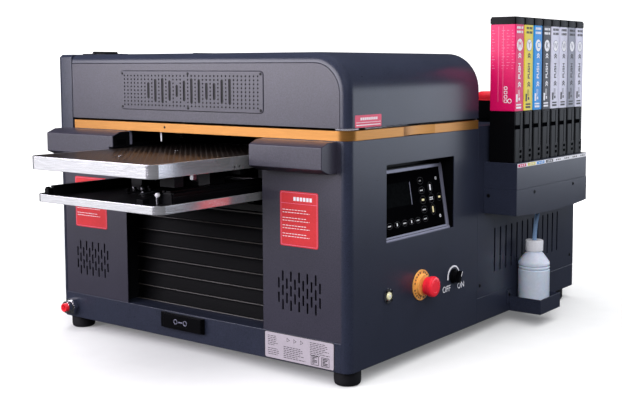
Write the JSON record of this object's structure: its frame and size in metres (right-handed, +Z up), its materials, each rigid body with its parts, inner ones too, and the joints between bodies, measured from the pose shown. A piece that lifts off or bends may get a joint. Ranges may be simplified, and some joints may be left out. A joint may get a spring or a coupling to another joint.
{
  "type": "flatbed uv printer",
  "caption": "Desktop flatbed UV printer with a side-hinged hood, a bed that slides out and lifts, a side ink bay and a waste bottle.",
  "frame": {"origin": "on the floor under the middle of the whole object's box, screw heads and the slid-out bed counted", "axes": "+X to the right across the front, +Y to the back, +Z up; the bed slides out towards -Y"},
  "size_m": [0.863, 1.1856, 0.674],
  "materials": {
    "cover_paint": "fine textured dark blue-grey powder coat",
    "front_paint": "satin grey with a slight purple cast",
    "black_paint": "satin black",
    "gold_anodised": "brushed, anodised gold",
    "aluminium": "polished",
    "brown_plate": "dark brown anodised, perforated",
    "steel": "bright",
    "chrome": "polished",
    "rubber": "matt",
    "black_plastic": "satin",
    "gloss_black": "glass-like",
    "red_plastic": "gloss",
    "yellow_plastic": "satin",
    "button_cream": "translucent",
    "bellows_cloth": "coated cloth",
    "bottle_plastic": "translucent milky",
    "cap_plastic": "ribbed",
    "hose_plastic": "clear bluish",
    "label_print": "printed film",
    "ink_magenta": "printed label on black plastic",
    "ink_yellow": "printed label on black plastic",
    "ink_cyan": "printed label on black plastic",
    "ink_black": "printed label on black plastic",
    "ink_white": "printed label on black plastic",
    "ink_grey": "printed label on black plastic"
  },
  "bodies": {
    "chassis": {"base_chassis": "cover_paint", "feet": "rubber", "right_cover": "cover_paint", "left_cover": "cover_paint", "front_panel_right": "front_paint", "front_panel_left": "front_paint", "chamber_walls": "black_paint", "sensor_housings": "front_paint", "gold_trim": "gold_anodised", "hinge_fixed": "black_paint", "rear_top_cover": "cover_paint", "rear_side_right": "cover_paint", "rear_panel": "cover_paint", "power_inlet": "black_plastic", "panel_housing": "black_plastic", "panel_face": "gloss_black", "estop_base": "yellow_plastic", "switch_bezels": "chrome", "ink_bay_frame": "cover_paint", "ink_bay_cover": "cover_paint", "bottle_tray": "cover_paint", "waste_hose": "hose_plastic", "status_beacon": "red_plastic", "label_plates": "label_print", "latch_base": "black_plastic", "fitting_body": "chrome", "gantry_beam": "aluminium", "z_guide_rods": "steel", "capping_station": "black_plastic", "cover_screws": "steel", "bellows": "bellows_cloth"},
    "hood": {"hood_shell": "cover_paint", "hood_front_panel": "front_paint", "perforated_plate": "front_paint", "hinge_moving": "black_paint"},
    "lift_stage": {"z_platform": "black_paint"},
    "screw": {"lead_screw": "steel"},
    "bed": {"bed_base": "black_paint", "tray_band": "aluminium", "vacuum_bed": "brown_plate", "bed_band": "aluminium"},
    "carriage": {"print_carriage": "black_plastic", "print_head": "steel"},
    "stop_stem": {"estop_stem": "steel"},
    "stop_head": {"estop_head": "red_plastic"},
    "dial": {"selector_knob": "black_plastic"},
    "button": {"push_button": "button_cream"},
    "latch": {"latch_slider": "black_plastic"},
    "collar": {"fitting_collar": "red_plastic"},
    "pin": {"sensor_pin": "cap_plastic"},
    "bottle": {"waste_bottle": "bottle_plastic", "bottle_cap": "cap_plastic"},
    "ink_1": {"cartridge_1": "ink_magenta"},
    "ink_2": {"cartridge_2": "ink_yellow"},
    "ink_3": {"cartridge_3": "ink_cyan"},
    "ink_4": {"cartridge_4": "ink_black"},
    "ink_5": {"cartridge_5": "ink_white"},
    "ink_6": {"cartridge_6": "ink_white"},
    "ink_7": {"cartridge_7": "ink_grey"},
    "ink_8": {"cartridge_8": "ink_white"}
  },
  "joints": [
    {"name": "hood_hinge", "type": "hinge", "parent": "chassis", "child": "hood", "pos_m": [-0.38, 0, 0.6015], "axis": [0, -1, 0], "range_deg": [0, 100]},
    {"name": "stage_lift", "type": "slide", "parent": "chassis", "child": "lift_stage", "axis": [0, 0, 1], "range_m": [-0.15, 0], "deforming": ["bellows"]},
    {"name": "screw_turn", "type": "hinge", "parent": "chassis", "child": "screw", "pos_m": [0.142, 0.05, 0.2], "axis": [0, 0, 1], "range_deg": [-5401, 0]},
    {"name": "bed_slide", "type": "slide", "parent": "lift_stage", "child": "bed", "axis": [0, 1, 0], "range_m": [0, 0.45]},
    {"name": "carriage_slide", "type": "slide", "parent": "chassis", "child": "carriage", "axis": [-1, 0, 0], "range_m": [0, 0.45]},
    {"name": "stop_push", "type": "slide", "parent": "chassis", "child": "stop_stem", "axis": [-1, 0, 0], "range_m": [0, 0.005]},
    {"name": "stop_twist", "type": "hinge", "parent": "stop_stem", "child": "stop_head", "pos_m": [0.372, -0.116, 0.15], "axis": [1, 0, 0], "range_deg": [0, 40], "stiffness_Nm_per_rad": 0.2},
    {"name": "dial_turn", "type": "hinge", "parent": "chassis", "child": "dial", "pos_m": [0.362, 0.008, 0.147], "axis": [1, 0, 0], "range_deg": [-90, 0]},
    {"name": "button_push", "type": "slide", "parent": "chassis", "child": "button", "axis": [-1, 0, 0], "range_m": [0, 0.0025], "stiffness_N_per_m": 600},
    {"name": "latch_slide", "type": "slide", "parent": "chassis", "child": "latch", "axis": [-1, 0, 0], "range_m": [0, 0.014]},
    {"name": "collar_push", "type": "slide", "parent": "chassis", "child": "collar", "axis": [0, 1, 0], "range_m": [0, 0.002], "stiffness_N_per_m": 1500},
    {"name": "pin_rise", "type": "slide", "parent": "chassis", "child": "pin", "axis": [0, 0, 1], "range_m": [0, 0.005]},
    {"name": "ink_1_lift", "type": "slide", "parent": "chassis", "child": "ink_1", "axis": [0, 0, 1], "range_m": [0, 0.09]},
    {"name": "ink_2_lift", "type": "slide", "parent": "chassis", "child": "ink_2", "axis": [0, 0, 1], "range_m": [0, 0.09]},
    {"name": "ink_3_lift", "type": "slide", "parent": "chassis", "child": "ink_3", "axis": [0, 0, 1], "range_m": [0, 0.09]},
    {"name": "ink_4_lift", "type": "slide", "parent": "chassis", "child": "ink_4", "axis": [0, 0, 1], "range_m": [0, 0.09]},
    {"name": "ink_5_lift", "type": "slide", "parent": "chassis", "child": "ink_5", "axis": [0, 0, 1], "range_m": [0, 0.09]},
    {"name": "ink_6_lift", "type": "slide", "parent": "chassis", "child": "ink_6", "axis": [0, 0, 1], "range_m": [0, 0.09]},
    {"name": "ink_7_lift", "type": "slide", "parent": "chassis", "child": "ink_7", "axis": [0, 0, 1], "range_m": [0, 0.09]},
    {"name": "ink_8_lift", "type": "slide", "parent": "chassis", "child": "ink_8", "axis": [0, 0, 1], "range_m": [0, 0.09]},
    {"name": "bottle_lift", "type": "slide", "parent": "chassis", "child": "bottle", "axis": [0, 0, 1], "range_m": [0, 0.032]}
  ],
  "couplings": [
    {"joint": "screw_turn", "follows": "stage_lift", "rad_per_m": 628.32}
  ]
}
